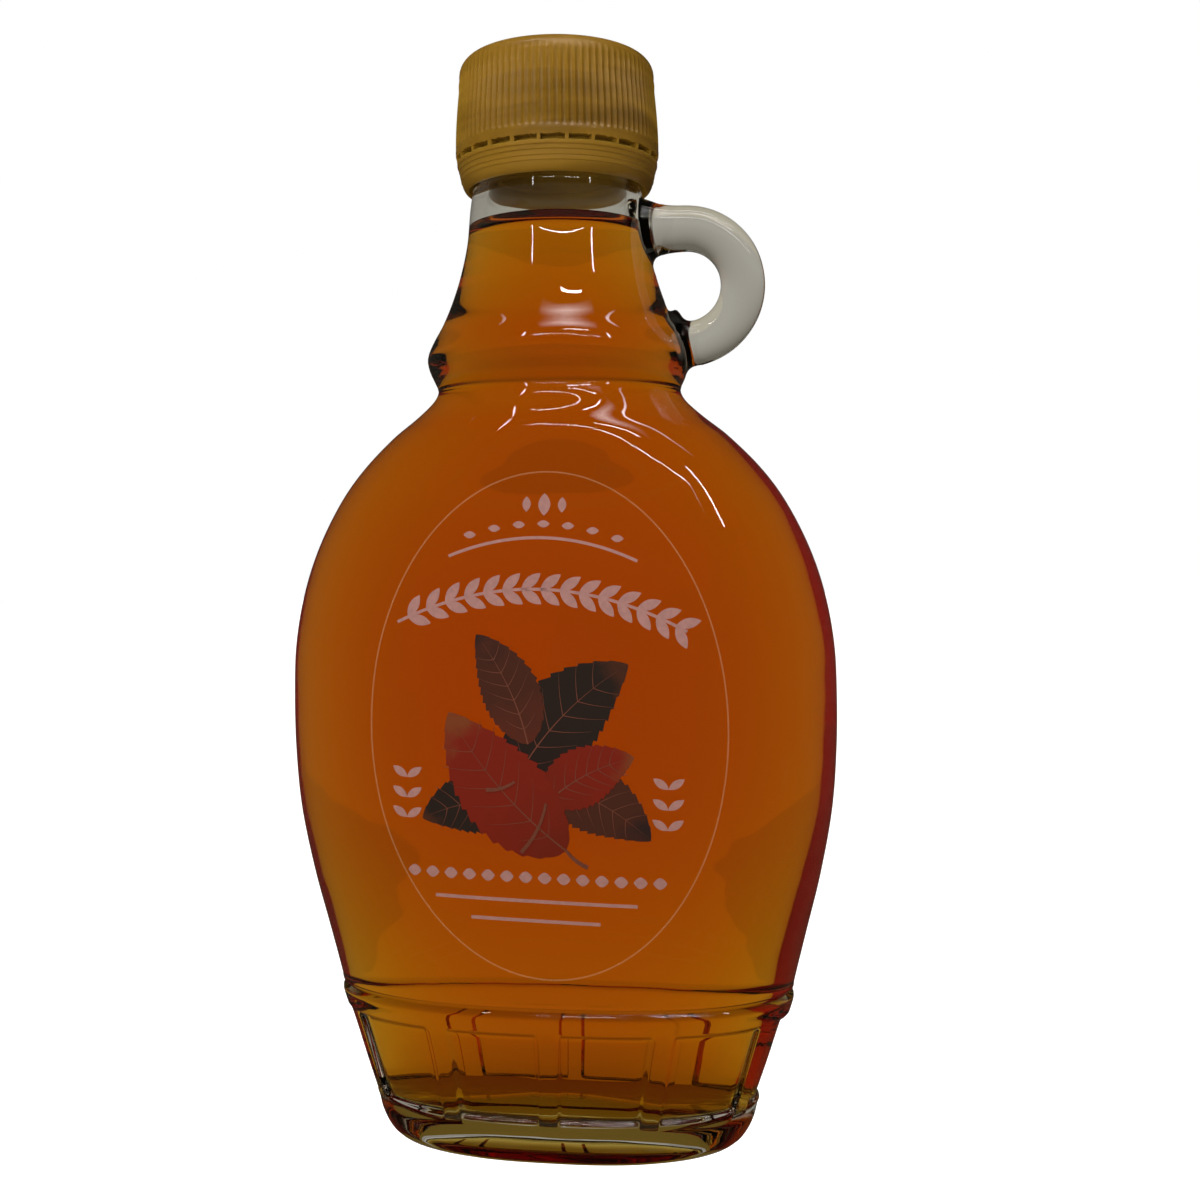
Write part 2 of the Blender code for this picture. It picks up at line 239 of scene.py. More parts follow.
# Print: places on the front are an X and a height, in metres.
INK_LIFT = 0.00007
INK_SINK = 0.00006
PRINT_TILT = math.radians(-2.0)
PRINT_CENTRE = (0.0003, 0.0660)
STICKER_CENTRE = (0.0012, 0.0664)
STICKER_HALF = (0.0262, 0.0373)
RIM_COLUMNS = 180
RIM_HALF_WIDTH = 0.00011
RIM_LIFT = 0.00005
RIM_SINK = 0.00004
SLOPE_STEP = 0.0004
WIDEST_SHARE = 0.999
LEAF_TEETH = 13
LEAF_TOOTH_DEPTH = 0.11
LEAF_STEPS = 78
LEAF_COLUMNS = 10
# Each leaf's name, base, tip, bow, half width, colours and lift in ink layers
LEAVES = [
    ("leaf_dark_right", (-0.0030, 0.0590), (0.0130, 0.0765), 0.0016, 0.0060, "dark", 1.0),
    ("leaf_brown_low", (0.0005, 0.0592), (0.0168, 0.0512), 0.0014, 0.0048, "brown", 1.0),
    ("leaf_dark_left", (-0.0010, 0.0560), (-0.0168, 0.0528), -0.0012, 0.0046, "dark", 1.0),
    ("leaf_brown_top", (-0.0012, 0.0645), (-0.0092, 0.0800), -0.0010, 0.0042, "brown", 1.6),
    ("leaf_red_left", (0.0046, 0.0492), (-0.0130, 0.0686), 0.0014, 0.0064, "red", 2.4),
    ("leaf_red_right", (0.0016, 0.0560), (0.0142, 0.0632), 0.0010, 0.0042, "red", 2.0),
]
LEAF_COLOURS = {  # at the stem, in the middle and at the tip
    "dark": ((0.012, 0.006, 0.005), (0.013, 0.008, 0.006), (0.050, 0.014, 0.006)),
    "brown": ((0.060, 0.012, 0.006), (0.038, 0.011, 0.006), (0.016, 0.008, 0.007)),
    "red": ((0.090, 0.008, 0.003), (0.115, 0.008, 0.003), (0.115, 0.028, 0.008)),
}
MIDRIB_STEPS = 40
MIDRIB_HALF = 0.00011
VEIN_PAIRS = 6
VEIN_GAP = 5
VEIN_HALF = 0.00005
VEIN_BOW = 0.0002
VEIN_REACH = 0.82
VEIN_LEAN = 0.85
VEIN_LIFT = 0.25
# Each stem's start, end and bow
STEMS = [
    ((0.0046, 0.0492), (0.0078, 0.0468), -0.0003),
    ((-0.0030, 0.0590), (-0.0072, 0.0576), 0.0004),
    ((0.0016, 0.0560), (-0.0020, 0.0486), 0.0006),
]
STEM_HALF = 0.00022
STEM_LIFT = 4.0

# Ornament: an arch is its half span, the height of its top and the drop at its ends.
SPRIG = (0.0196, 0.0868, 0.0046)
SPRIG_LEAVES = 15
SPRIG_LEAF = 0.0036
SPRIG_LEAN = math.radians(38)
ARCHED_RULES = [(0.0212, 0.0868, 0.0054), (0.0138, 0.0942, 0.0030)]
SEED_ARCH = (0.0138, 0.0962, 0.0030)
SEED_PITCH = 0.0036
CROWN_HEIGHT = 0.0990
CROWN = [(-0.0026, 0.0011), (0.0, 0.0016), (0.0026, 0.0011)]
BEADS = 14
BEAD_HEIGHT = 0.0448
BEAD_PITCH = 0.0028
STRAIGHT_RULES = [(0.0150, 0.0412), (0.0096, 0.0382)]
SPROUT_X = 0.0192
SPROUT_HEIGHT = 0.0528
SPROUT_PITCH = 0.0030

# Camera: where it stands and how it is turned, in metres and degrees.
CAMERA_PLACE = (0.04047, -0.23020, 0.09243)
CAMERA_PAN = -8.488
CAMERA_PITCH = -1.953
CAMERA_ROLL = -0.508
LENS = 44.39
SENSOR = 36.0


def along(table, height, column):
    """A smooth curve through one column of a table, read at a height."""
    heights = [row[0] for row in table]
    values = [row[column] for row in table]
    height = min(max(height, heights[0]), heights[-1])
    index = max(i for i in range(len(heights) - 1) if heights[i] <= height)

    def slope(i):
        before, after = max(i - 1, 0), min(i + 1, len(heights) - 1)
        return (values[after] - values[before]) / (heights[after] - heights[before])

    span = heights[index + 1] - heights[index]
    t = (height - heights[index]) / span
    return (
        values[index] * (1 + 2 * t) * (1 - t) ** 2
        + span * slope(index) * t * (1 - t) ** 2
        + values[index + 1] * t * t * (3 - 2 * t)
        - span * slope(index + 1) * t * t * (1 - t)
    )


def clamp(value, low=0.0, high=1.0):
    return min(max(value, low), high)


def smooth(value):
    value = clamp(value)
    return value * value * (3 - 2 * value)


def signed_power(value, power):
    return math.copysign(abs(value) ** power, value)


def oval_point(half_width, half_depth, height, turn):
    """A point of a flat-sided oval; turn 0 is the middle of the front, growing towards +X."""
    side = signed_power(math.sin(turn), 2 / along(SQUARENESS, height, 1))
    return Vector((side * half_width, -math.cos(turn) * half_depth, height))


def round_point(radius, turn, height):
    return Vector((math.sin(turn) * radius, -math.cos(turn) * radius, height))


def ways(points):
    """How far each point lies along the path through them."""
    way = [0.0]
    for start, end in zip(points, points[1:]):
        way.append(way[-1] + (end - start).length)
    return way


def even_turns(half_width, half_depth, height, shares):
    """Turns that lie at the given shares of the way round an oval."""
    step = 2 * math.pi / TURN_STEPS
    way = ways([oval_point(half_width, half_depth, height, step * i) for i in range(TURN_STEPS + 1)])
    turns = []
    index = 0
    for share in shares:
        while way[index + 1] < share * way[-1]:
            index += 1
        part = (share * way[-1] - way[index]) / (way[index + 1] - way[index])
        turns.append(step * (index + part))
    return turns


def subdivided(heights, step):
    """The heights with more between them, so that none are further apart than a step."""
    fine = []
    for low, high in zip(heights, heights[1:]):
        count = max(1, math.ceil((high - low) / step - 1e-6))
        fine += [low + (high - low) * i / count for i in range(count)]
    return fine + [heights[-1]]


def add_object(name, mesh, material=None):
    made = bpy.data.objects.new(name, mesh)
    bpy.context.scene.collection.objects.link(made)
    if material:
        mesh.materials.append(material)
    return made


def bridge(maker, rows, closed=True):
    """Quads between rows of vertices that have the same count."""
    for lower, upper in zip(rows, rows[1:]):
        count = len(lower)
        for i in range(count if closed else count - 1):
            j = (i + 1) % count
            maker.faces.new((lower[i], lower[j], upper[j], upper[i]))


def fan(maker, row, centre):
    middle = maker.verts.new(centre)
    for i in range(len(row)):
        maker.faces.new((row[i], row[(i + 1) % len(row)], middle))


def finish_mesh(maker, name, material, sharp_degrees=40):
    bmesh.ops.recalc_face_normals(maker, faces=maker.faces)
    mesh = bpy.data.meshes.new(name)
    maker.to_mesh(mesh)
    maker.free()
    mesh.shade_smooth()
    mesh.set_sharp_from_angle(angle=math.radians(sharp_degrees))
    return add_object(name, mesh, material)


def lofted(name, rings, material=None):
    """A closed solid through rings of the same count, with a fan at both ends."""
    maker = bmesh.new()
    rows = [[maker.verts.new(point) for point in ring] for ring in rings]
    bridge(maker, rows)
    for row, ring in ((rows[0], rings[0]), (rows[-1], rings[-1])):
        fan(maker, row, sum(ring, Vector()) / len(ring))
    return finish_mesh(maker, name, material)


def combine(target, tool, operation):
    """Applies a Boolean of tool to target and removes the tool."""
    modifier = target.modifiers.new("combine", "BOOLEAN")
    modifier.object = tool
    modifier.operation = operation
    modifier.solver = "MANIFOLD"
    bpy.context.view_layer.update()
    graph = bpy.context.evaluated_depsgraph_get()
    result = bpy.data.meshes.new_from_object(target.evaluated_get(graph))
    target.modifiers.remove(modifier)
    target.data = result
    bpy.data.objects.remove(tool, do_unlink=True)


def resurface(made, sharp_degrees, *materials):
    """Gives a cut solid its materials, and smooth shading with crisp edges."""
    made.data.materials.clear()
    for material in materials:
        made.data.materials.append(material)
    made.data.shade_smooth()
    made.data.set_sharp_from_angle(angle=math.radians(sharp_degrees))


# Glass

def panel_shares():
    """Where the fine columns stand in one panel's pitch, closer together on the slopes of the ribs."""
    half_rib = RIB_SHARE / 2
    slope_end = half_rib + BEVEL_SHARE
    steps = PANEL_BEVEL_STEPS
    shares = [0.0, half_rib / 2]
    shares += [half_rib + BEVEL_SHARE * i / steps for i in range(steps)]
    shares += [slope_end + (1 - 2 * slope_end) * i / FLAT_STEPS for i in range(FLAT_STEPS)]
    shares += [1 - slope_end + BEVEL_SHARE * i / steps for i in range(steps + 1)]
    shares += [1 - half_rib / 2]
    return shares


def panel_depth(share, height):
    """How deep the panels are sunk at a share of the way round and a height."""
    place = share * PANELS % 1.0
    from_rib = min(place, 1 - place) - RIB_SHARE / 2
    from_end = min(height - PANEL_BOTTOM, PANEL_TOP - height)
    return PANEL_SINK * smooth(from_rib / BEVEL_SHARE) * smooth(from_end / PANEL_BEVEL)


def sunk(point, half_width, half_depth, depth):
    """A point of the outside moved straight in by a depth."""
    normal = Vector((point.x / half_width ** 2, point.y / half_depth ** 2, 0)).normalized()
    return point - normal * depth


def outside_rings():
    """Rings of the outside, from the foot over the panels and the body to the mouth's rim."""
    table = FOOT + FLUTED + LEDGE + BODY
    heights = [row[0] for row in table]
    for end, way in ((PANEL_BOTTOM, 1), (PANEL_TOP, -1)):
        heights += [end + way * PANEL_BEVEL * i / PANEL_BEVEL_STEPS for i in range(PANEL_BEVEL_STEPS + 1)]
    heights = subdivided(sorted(set(heights)), ROW_STEP)
    shares = [(panel + share) / PANELS for panel in range(PANELS) for share in panel_shares()]
    middle_height, middle_width, middle_depth = FLUTED[1]
    turns = even_turns(middle_width, middle_depth, middle_height, shares)
    rings = []
    for height in heights:
        half_width, half_depth = along(table, height, 1), along(table, height, 2)
        ring = []
        for share, turn in zip(shares, turns):
            point = oval_point(half_width, half_depth, height, turn)
            ring.append(sunk(point, half_width, half_depth, panel_depth(share, height)))
        rings.append(ring)
    for height in subdivided([FINISH_START, MOUTH_HEIGHT - FINISH_ROUNDING], FINISH_STEP):
        rings.append([oval_point(FINISH_RADIUS, FINISH_RADIUS, height, turn) for turn in turns])
    for step in range(1, ROUNDING_STEPS + 1):
        angle = math.pi / 2 * step / ROUNDING_STEPS
        radius = FINISH_RADIUS - FINISH_ROUNDING * (1 - math.cos(angle))
        height = MOUTH_HEIGHT - FINISH_ROUNDING * (1 - math.sin(angle))
        rings.append([oval_point(radius, radius, height, turn) for turn in turns])
    return rings


def inner_turns():
    shares = [(i + 0.5) / INNER_COLUMNS for i in range(INNER_COLUMNS)]
    return even_turns(*INNER_SPACING, shares)


def inside_halves(height, inset):
    """Half width and half depth of the inside at a height, moved in by the inset."""
    return tuple(along(SMOOTH_OUTSIDE, height, column) - GLASS_WALL - inset for column in (1, 2))


def inside_rings(inset, top):
    """Rings of the inside: the outside moved in by the wall and the inset, with a rounded floor."""
    floor = FLOOR_HEIGHT + inset
    corner_turns = [math.pi / 2 * i / FLOOR_STEPS for i in range(FLOOR_STEPS + 1)]
    corner_rows = [floor + FLOOR_CORNER * (1 - math.cos(turn)) for turn in corner_turns]
    heights = corner_rows + subdivided([corner_rows[-1], top], ROW_STEP)[1:]
    turns = inner_turns()
    half_width, half_depth = (half - FLOOR_CORNER for half in inside_halves(floor, inset))
    rings = []
    for step in range(1, DOME_STEPS):
        share = step / DOME_STEPS
        rise = FLOOR_DOME * (0.5 + 0.5 * math.cos(math.pi * share))
        rings.append([
            oval_point(half_width * share, half_depth * share, floor + rise, turn) for turn in turns
        ])
    for height in heights:
        half_width, half_depth = inside_halves(height, inset)
        rise = min(height - floor, FLOOR_CORNER)
        corner = FLOOR_CORNER - math.sqrt(max(FLOOR_CORNER ** 2 - (FLOOR_CORNER - rise) ** 2, 0))
        halves = (half_width - corner, half_depth - corner)
        rings.append([oval_point(*halves, height, turn) for turn in turns])
    return rings


def cavity():
    """What is cut out of the glass for the inside, up through the mouth."""
    rings = inside_rings(0.0, BODY[-1][0])
    turns = inner_turns()
    for height in THROAT_HEIGHTS:
        rings.append([oval_point(MOUTH_RADIUS, MOUTH_RADIUS, height, turn) for turn in turns])
    return lofted("cavity", rings)


def push_up():
    """The shallow hollow under the foot, inside the resting ring."""
    half_width, half_depth = FOOT[0][1] - RESTING_WIDTH, FOOT[0][2] - RESTING_WIDTH
    turns = [2 * math.pi * i / PUSH_UP_COLUMNS for i in range(PUSH_UP_COLUMNS)]
    rings = []
    for height, inset in PUSH_UP:
        ring = [oval_point(half_width - inset, half_depth - inset, 0, turn) for turn in turns]
        rings.append([point + Vector((0, 0, height)) for point in ring])
    return lofted("push_up", rings)


def handle_path():
    """The middle of the ring, out from the neck, round, and back in to the collar."""
    top = HANDLE_Z + HANDLE_RADIUS
    straight_out = subdivided([HANDLE_ROOT_X, HANDLE_NECK_X, HANDLE_X], HANDLE_STEP)[:-1]
    path = [Vector((x, 0, top)) for x in straight_out]
    for i in range(HANDLE_BENDS + 1):
        angle = math.pi / 2 + (HANDLE_LOWER_ANGLE - math.pi / 2) * i / HANDLE_BENDS
        reach = Vector((math.cos(angle), 0, math.sin(angle))) * HANDLE_RADIUS
        path.append(Vector((HANDLE_X, 0, HANDLE_Z)) + reach)
    return path


def handle():
    """The ring, a tube of rounded section that widens where it melts into the neck and the collar."""
    path = handle_path()
    way = ways(path)
    rings = []
    for index, point in enumerate(path):
        before, after = path[max(index - 1, 0)], path[min(index + 1, len(path) - 1)]
        forward = (after - before).normalized()
        across = Vector((forward.z, 0, -forward.x))
        from_upper = max(way[index] - (HANDLE_NECK_X - HANDLE_ROOT_X), 0)
        from_lower = way[-1] - way[index]
        flare = 1 + HANDLE_FLARE * math.exp(-from_upper / HANDLE_FLARE_LENGTH)
        flare += HANDLE_LOWER_FLARE * math.exp(-((from_lower / HANDLE_LOWER_FLARE_LENGTH) ** 2))
        ring = []
        for side in range(HANDLE_SIDES):
            angle = 2 * math.pi * (side + 0.5) / HANDLE_SIDES
            band = signed_power(math.cos(angle), HANDLE_SQUARENESS) * HANDLE_HALF_BAND * flare
            depth = signed_power(math.sin(angle), HANDLE_SQUARENESS) * HANDLE_HALF_DEPTH * flare
            ring.append(point + across * band + Vector((0, depth, 0)))
        rings.append(ring)
    return lofted("handle", rings)


def melt_seam(made):
    """Rounds the crease where the handle meets the neck, as melted glass does."""
    maker = bmesh.new()
    maker.from_mesh(made.data)
    crease = set()
    for edge in maker.edges:
        middle = (edge.verts[0].co + edge.verts[1].co) / 2
        high = SEAM_BOTTOM < middle.z < SEAM_TOP
        near = middle.x > SEAM_X and high and abs(middle.y) < SEAM_HALF_DEPTH
        if near and edge.is_manifold and edge.calc_face_angle() > SEAM_ANGLE:
            crease.update(edge.verts)
    region = set(crease)
    for _ in range(SEAM_REACH):
        region |= {edge.other_vert(vert) for vert in region for edge in vert.link_edges}
    for _ in range(SEAM_PASSES):
        bmesh.ops.smooth_vert(
            maker, verts=list(region), factor=0.5, use_axis_x=True, use_axis_y=True, use_axis_z=True
        )
    maker.to_mesh(made.data)
    maker.free()


def is_wet(point):
    """Whether a point of the glass is on the inside wall below the syrup's level."""
    if not FLOOR_HEIGHT - WET_MARGIN < point.z < SYRUP_LEVEL:
        return False
    middle_of_wall = -GLASS_WALL / 2
    half_width, half_depth = inside_halves(point.z, middle_of_wall)
    power = along(SQUARENESS, point.z, 1)
    return abs(point.x / half_width) ** power + (point.y / half_depth) ** 2 < 1


def make_glass(material, wet_material):
    """The glass with its handle; where the syrup wets it, the inside wall has its own material."""
    glass = lofted("glass_fine", outside_rings())
    combine(glass, handle(), "UNION")
    melt_seam(glass)
    combine(glass, cavity(), "DIFFERENCE")
    combine(glass, push_up(), "DIFFERENCE")
    resurface(glass, 50, material, wet_material)
    for face in glass.data.polygons:
        face.material_index = 1 if is_wet(face.center) else 0
    return glass


# Syrup

def make_syrup(material):
    """The syrup reaches just into the wall, and its surface climbs a little at the glass."""
    rings = inside_rings(-INTO_WALL, SYRUP_LEVEL)
    edge = rings[-1]
    rings[-1] = [point + Vector((0, 0, MENISCUS)) for point in edge]
    reach = max(point.x for point in edge)
    for step in range(1, SURFACE_RINGS):
        share = 1 - (step / SURFACE_RINGS) ** SURFACE_SPACING
        rise = MENISCUS * math.exp(-max(reach * (1 - share) - INTO_WALL, 0) / MENISCUS_REACH)
        rings.append([Vector((point.x * share, point.y * share, SYRUP_LEVEL + rise)) for point in edge])
    return lofted("syrup_fine", rings, material)


# Cap

def cap_profile():
    """Height, radius and share of the rib depth of each ring of the cap's outside, going up."""
    rows = [(height, radius, 0) for height, radius in BAND_PROFILE]
    rows += [(KNURL_BOTTOM + above, CAP_RADIUS, ribbed) for above, ribbed in KNURL_START]
    lean_start = rows[-1][0]
    lean = CAP_SHOULDER_RADIUS - CAP_RADIUS
    for i in range(1, LEAN_STEPS):
        share = i / LEAN_STEPS
        height = lean_start + (LEAN_END - lean_start) * share
        rows.append((height, CAP_RADIUS + lean * share ** LEAN_BEND, 1.0))
    rows += [(KNURL_TOP - below, CAP_SHOULDER_RADIUS + past, ribbed) for below, past, ribbed in KNURL_END]
    rise, run = CAP_TOP - CAP_SHOULDER, CAP_SHOULDER_RADIUS - CAP_TOP_RADIUS
    for i in range(CAP_EDGE_STEPS + 1):
        turn = math.pi / 2 * i / CAP_EDGE_STEPS
        height = CAP_SHOULDER + rise * math.sin(turn)
        radius = CAP_TOP_RADIUS + run * math.cos(turn)
        rows.append((height, radius, CAP_EDGE_RIBS * clamp(1 - i / CAP_EDGE_FADE)))
    return rows


def cap_columns():
    """The turn of each column of the cap, and how deep it lies in a groove, from 0 to 1."""
    count = KNURLS * KNURL_COLUMNS
    columns = []
    for i in range(count):
        wave = 0.5 - 0.5 * math.cos(2 * math.pi * i / KNURL_COLUMNS)
        columns.append((2 * math.pi * i / count, wave ** GROOVE_BEND))
    return columns


def cap_bore():
    """The hollow of the cap, narrowed by the folded lip."""
    roof = CAP_TOP - CAP_ROOF
    profile = [
        (CAP_BORE, BAND_BOTTOM - CUT_MARGIN),
        (CAP_BORE, LIP_BOTTOM),
        (CAP_BORE - LIP_REACH, LIP_BOTTOM + LIP_LOWER_SLOPE),
        (CAP_BORE - LIP_REACH, LIP_TOP),
        (CAP_BORE, LIP_TOP + LIP_UPPER_SLOPE),
        (CAP_BORE, roof - BORE_CHAMFER),
        (CAP_BORE - BORE_CHAMFER, roof),
    ]
    turns = [2 * math.pi * i / BORE_COLUMNS for i in range(BORE_COLUMNS)]
    rings = [[round_point(radius, turn, height) for turn in turns] for radius, height in profile]
    return lofted("bore", rings)


def make_cap(material):
    columns = cap_columns()
    rings = []
    for height, radius, ribbed in cap_profile():
        depth = KNURL_DEPTH * ribbed
        rings.append([round_point(radius - depth * groove, turn, height) for turn, groove in columns])
    for radius, dip in CAP_TOP_RINGS:
        rings.append([round_point(radius, turn, CAP_TOP - dip) for turn, _ in columns])
    cap = lofted("cap_fine", rings)
    combine(cap, cap_bore(), "DIFFERENCE")
    combine(cap, slot_cutter(), "DIFFERENCE")
    resurface(cap, 38, material)
    return cap


def slot_cutter():
    """A ring of short slots with ragged edges, as a cut leaves them; the bridges stay between them."""
    draw = random.Random(7)
    pitch = 2 * math.pi / SLOTS
    inner, outer = SLOT_INNER, CAP_RADIUS + CUT_MARGIN
    maker = bmesh.new()
    for slot in range(SLOTS):
        half_bridge = BRIDGE_WIDTH / CAP_RADIUS * draw.uniform(*BRIDGE_SPREAD)
        start, end = slot * pitch + half_bridge, (slot + 1) * pitch - half_bridge
        rows = []
        for step in range(SLOT_STEPS + 1):
            turn = start + (end - start) * step / SLOT_STEPS
            low = SLOT_BOTTOM + draw.uniform(*SLOT_LOW_STRAY)
            high = SLOT_TOP + draw.uniform(*SLOT_HIGH_STRAY)
            corners = [(inner, low), (outer, low), (outer, high), (inner, high)]
            rows.append([maker.verts.new(round_point(reach, turn, height)) for reach, height in corners])
        bridge(maker, rows)
        maker.faces.new(reversed(rows[0]))
        maker.faces.new(rows[-1])
    return finish_mesh(maker, "slots", None)


# Print

def front_point(x, height, lift):
    """The point of the jug's front at an X and a height, lifted off the glass."""
    def depth(px, pz):
        share = clamp(abs(px) / along(BODY, pz, 1), 0, WIDEST_SHARE)
        return along(BODY, pz, 2) * math.sqrt(1 - share ** along(SQUARENESS, pz, 1))

    step = SLOPE_STEP
    slope_x = (depth(x + step, height) - depth(x - step, height)) / (2 * step)
    slope_z = (depth(x, height + step) - depth(x, height - step)) / (2 * step)
    normal = Vector((-slope_x, -1, -slope_z)).normalized()
    return Vector((x, -depth(x, height), height)) + normal * lift


def tilted(point):
    """A place of the print, turned a little about its centre as it is stuck on."""
    x, z = point[0] - PRINT_CENTRE[0], point[1] - PRINT_CENTRE[1]
    cos, sin = math.cos(PRINT_TILT), math.sin(PRINT_TILT)
    return PRINT_CENTRE[0] + x * cos - z * sin, PRINT_CENTRE[1] + x * sin + z * cos


def add_blade(maker, spine, half_width, columns, lift=INK_LIFT, uv=None):
    """A thin closed plate on the front along a spine of places; half_width gives its reach."""
    rows_front, rows_back = [], []
    count = len(spine) - 1
    for i, place in enumerate(spine):
        before, after = spine[max(i - 1, 0)], spine[min(i + 1, count)]
        ahead = Vector((after[0] - before[0], after[1] - before[1])).normalized()
        side = Vector((-ahead.y, ahead.x))
        share = i / count
        front, back = [], []
        for j in range(columns + 1):
            across = 2 * j / columns - 1
            reach = half_width(share, across) * across
            x, z = tilted((place[0] + side.x * reach, place[1] + side.y * reach))
            front.append((maker.verts.new(front_point(x, z, lift)), share, across))
            back.append((maker.verts.new(front_point(x, z, -INK_SINK)), share, across))
        rows_front.append(front)
        rows_back.append(back)

    def face(corners):
        made = maker.faces.new([corner[0] for corner in corners])
        if uv:
            for loop, corner in zip(made.loops, corners):
                loop[uv].uv = (corner[1], corner[2] * 0.5 + 0.5)

    for i in range(count):
        for j in range(columns):
            face([rows_front[i][j], rows_front[i + 1][j], rows_front[i + 1][j + 1], rows_front[i][j + 1]])
            face([rows_back[i][j + 1], rows_back[i + 1][j + 1], rows_back[i + 1][j], rows_back[i][j]])
        for j, flip in ((0, False), (columns, True)):
            corners = [rows_front[i][j], rows_back[i][j], rows_back[i + 1][j], rows_front[i + 1][j]]
            face(corners[::-1] if flip else corners)
    for i, flip in ((0, True), (count, False)):
        for j in range(columns):
            corners = [rows_front[i][j], rows_back[i][j], rows_back[i][j + 1], rows_front[i][j + 1]]
            face(corners[::-1] if flip else corners)


def straight(start, end, steps):
    return [
        (start[0] + (end[0] - start[0]) * i / steps, start[1] + (end[1] - start[1]) * i / steps)
        for i in range(steps + 1)
    ]


def bowed(start, end, bow, steps):
    """Places from start to end on a curve that stands off the straight line by bow at its middle."""
    along_x, along_z = end[0] - start[0], end[1] - start[1]
    length = math.hypot(along_x, along_z)
    places = []
    for i in range(steps + 1):
        share = i / steps
        off = bow * 4 * share * (1 - share)
        places.append((
            start[0] + along_x * share - along_z / length * off,
            start[1] + along_z * share + along_x / length * off,
        ))
    return places


def line_width(half):
    return lambda share, across: half


def tapered_width(half, start, growth):
    return lambda share, across: half * (start + growth * share)


def lens_width(half):
    """A pointed oval."""
    return lambda share, across: max(half * math.sin(math.pi * share) ** 0.8, 0.00002)


def toothed_width(half):
    """A leaf: broad below its middle, with a finely toothed edge and a drawn-out tip."""
    def width(share, across):
        body = math.sin(math.pi * share ** 0.80) ** 0.75
        tooth = (share * LEAF_TEETH) % 1.0
        return max(half * body * (1 + LEAF_TOOTH_DEPTH * (0.5 - tooth)), 0.00003)
    return width


def new_piece(maker, name, material):
    return finish_mesh(maker, name, material, 60)


def make_leaf(name, base, tip, bow, half, material, lift):
    maker = bmesh.new()
    uv = maker.loops.layers.uv.new("leaf")
    spine = bowed(base, tip, bow, LEAF_STEPS)
    add_blade(maker, spine, toothed_width(half), LEAF_COLUMNS, INK_LIFT * lift, uv)
    return new_piece(maker, name, material)


def make_veins(material):
    """Midribs and side veins of the leaves."""
    maker = bmesh.new()
    for _, base, tip, bow, half, _, lift in LEAVES:
        midrib = bowed(base, tip, bow, MIDRIB_STEPS)
        lifted = INK_LIFT * (lift + VEIN_LIFT)
        add_blade(maker, midrib[:-3], tapered_width(MIDRIB_HALF, 1.1, -1), 2, lifted)
        width = toothed_width(half)
        for pair in range(1, VEIN_PAIRS + 1):
            index = pair * VEIN_GAP
            start = Vector(midrib[index])
            ahead = (Vector(midrib[index + 1]) - start).normalized()
            for way in (1, -1):
                side = Vector((-ahead.y, ahead.x)) * way
                reach = width(index / MIDRIB_STEPS, 1) * VEIN_REACH
                end = start + side * reach + ahead * reach * VEIN_LEAN
                curve = bowed(midrib[index], tuple(end), VEIN_BOW * way, 6)
                add_blade(maker, curve, tapered_width(VEIN_HALF, 1.2, -1), 2, lifted)
    return new_piece(maker, "print_veins", material)


def make_stems(material):
    maker = bmesh.new()
    for start, end, bow in STEMS:
        add_blade(maker, bowed(start, end, bow, 16), tapered_width(STEM_HALF, 0.8, 0.5), 2,
                  INK_LIFT * STEM_LIFT)
    return new_piece(maker, "print_stems", material)


def arch(half_span, top, drop, x):
    return top - drop * (x / half_span) ** 2


def add_lens(maker, start, end, steps, half):
    add_blade(maker, straight(start, end, steps), lens_width(half), 4)


def add_sprig(maker):
    """Pairs of small leaves along an arch."""
    half_span, _, drop = SPRIG
    for step in range(SPRIG_LEAVES):
        x = half_span * (2 * step / (SPRIG_LEAVES - 1) - 1)
        z = arch(*SPRIG, x)
        slope = math.atan(-2 * drop * x / half_span ** 2)
        for way in (1, -1):
            lean = slope + way * SPRIG_LEAN
            end = (x + math.cos(lean) * SPRIG_LEAF, z + math.sin(lean) * SPRIG_LEAF)
            add_lens(maker, (x, z), end, 12, 0.00075)


def make_ornament(material):
    """Pale ornament above and below the leaves: arched and straight rules with small pointed ovals."""
    maker = bmesh.new()
    add_sprig(maker)
    for rule in ARCHED_RULES:
        places = [(x, arch(*rule, x)) for x in (rule[0] * (i / 30 - 1) for i in range(61))]
        add_blade(maker, places, line_width(0.00022), 2)
    for step in range(-3, 4):
        x = SEED_PITCH * step
        z = arch(*SEED_ARCH, x)
        add_lens(maker, (x - 0.0009, z), (x + 0.0009, z), 10, 0.00052)
    for x, size in CROWN:
        add_lens(maker, (x, CROWN_HEIGHT - size), (x, CROWN_HEIGHT + size), 12, size * 0.55)
    for step in range(BEADS):
        x = BEAD_PITCH * (step - (BEADS - 1) / 2)
        add_lens(maker, (x - 0.0010, BEAD_HEIGHT), (x + 0.0010, BEAD_HEIGHT), 10, 0.00085)
    for half_span, z in STRAIGHT_RULES:
        add_blade(maker, straight((-half_span, z), (half_span, z), 40), line_width(0.00024), 2)
    for way in (1, -1):
        for step in range(3):
            x, z = way * SPROUT_X, SPROUT_HEIGHT + SPROUT_PITCH * step
            for side in (1, -1):
                add_lens(maker, (x, z), (x + side * way * 0.0022, z + 0.0015), 10, 0.00058)
    return new_piece(maker, "print_ornament", material)


